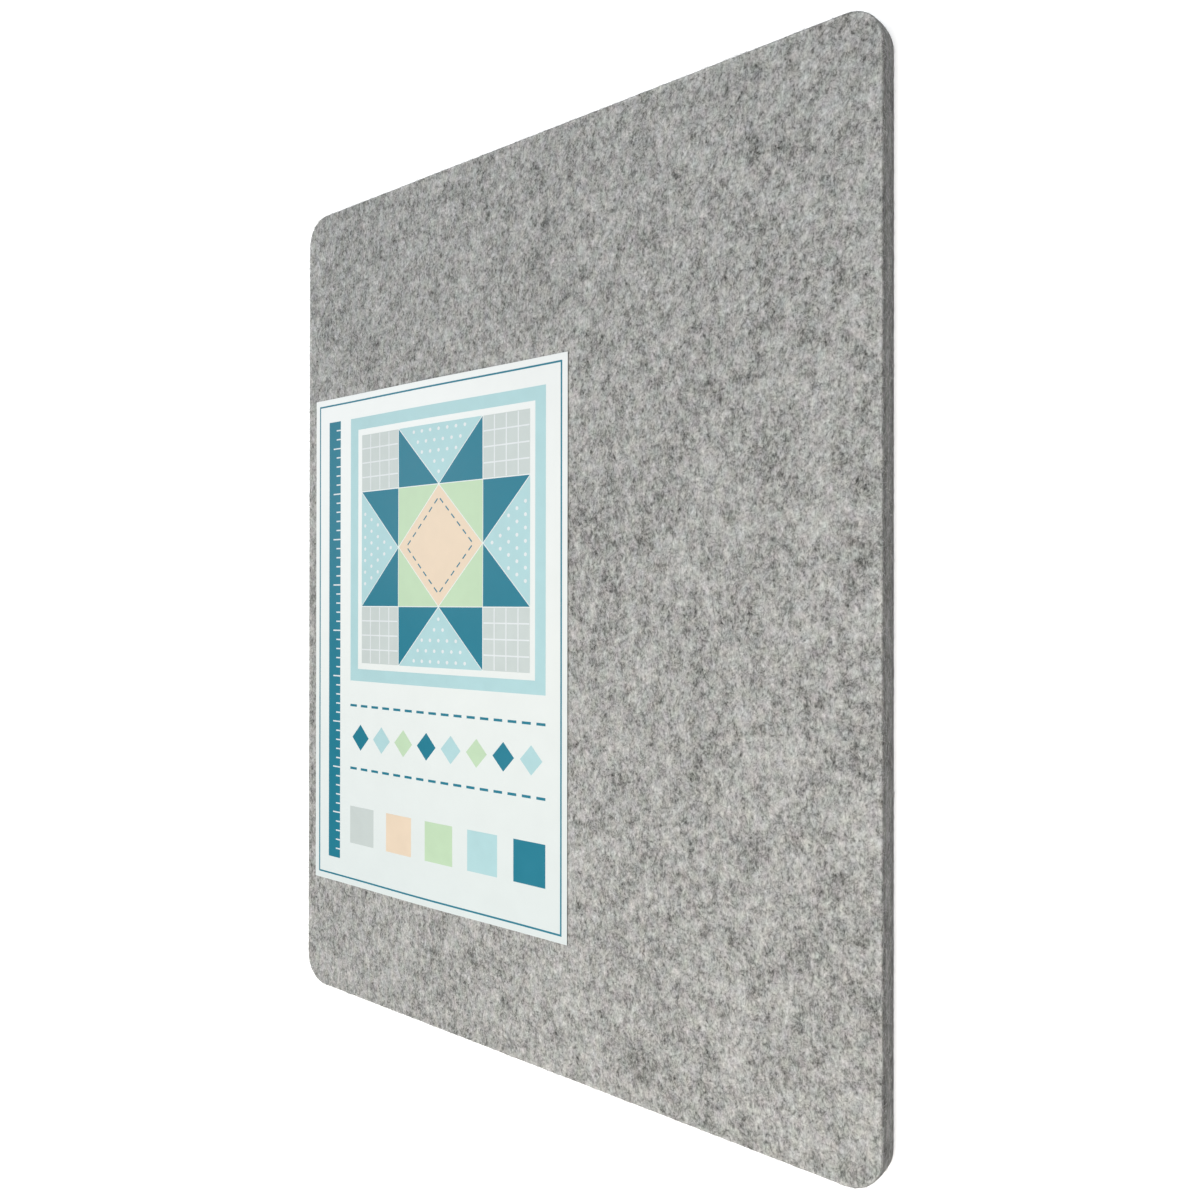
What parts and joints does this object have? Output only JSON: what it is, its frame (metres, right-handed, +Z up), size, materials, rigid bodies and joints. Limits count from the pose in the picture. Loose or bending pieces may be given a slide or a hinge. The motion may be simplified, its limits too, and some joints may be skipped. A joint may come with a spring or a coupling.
{
  "type": "ironing pad",
  "caption": "Flat rectangular pad of thick grey wool felt with rounded corners, laid on a table to iron on, with a printed paper label taped to its top face.",
  "frame": {"origin": "middle of the underside, on the surface that the pad lies on", "axes": "+X across the short side, towards the edge away from the label; +Y along the long side, the way the label's top points; +Z up through the thickness, out of the ironing face"},
  "size_m": [0.342, 0.43, 0.0144],
  "materials": {
    "felt": "light grey melange pressed wool felt, matt and fibrous",
    "label_paper": "gloss coated white paper with pale aqua and teal print",
    "tape": "translucent double-sided tape"
  },
  "bodies": {
    "root": {"felt_mat": "felt", "printed_label": "label_paper", "tape_tab_top_left": "tape", "tape_tab_top_right": "tape", "tape_tab_bottom_left": "tape", "tape_tab_bottom_right": "tape"}
  },
  "joints": []
}
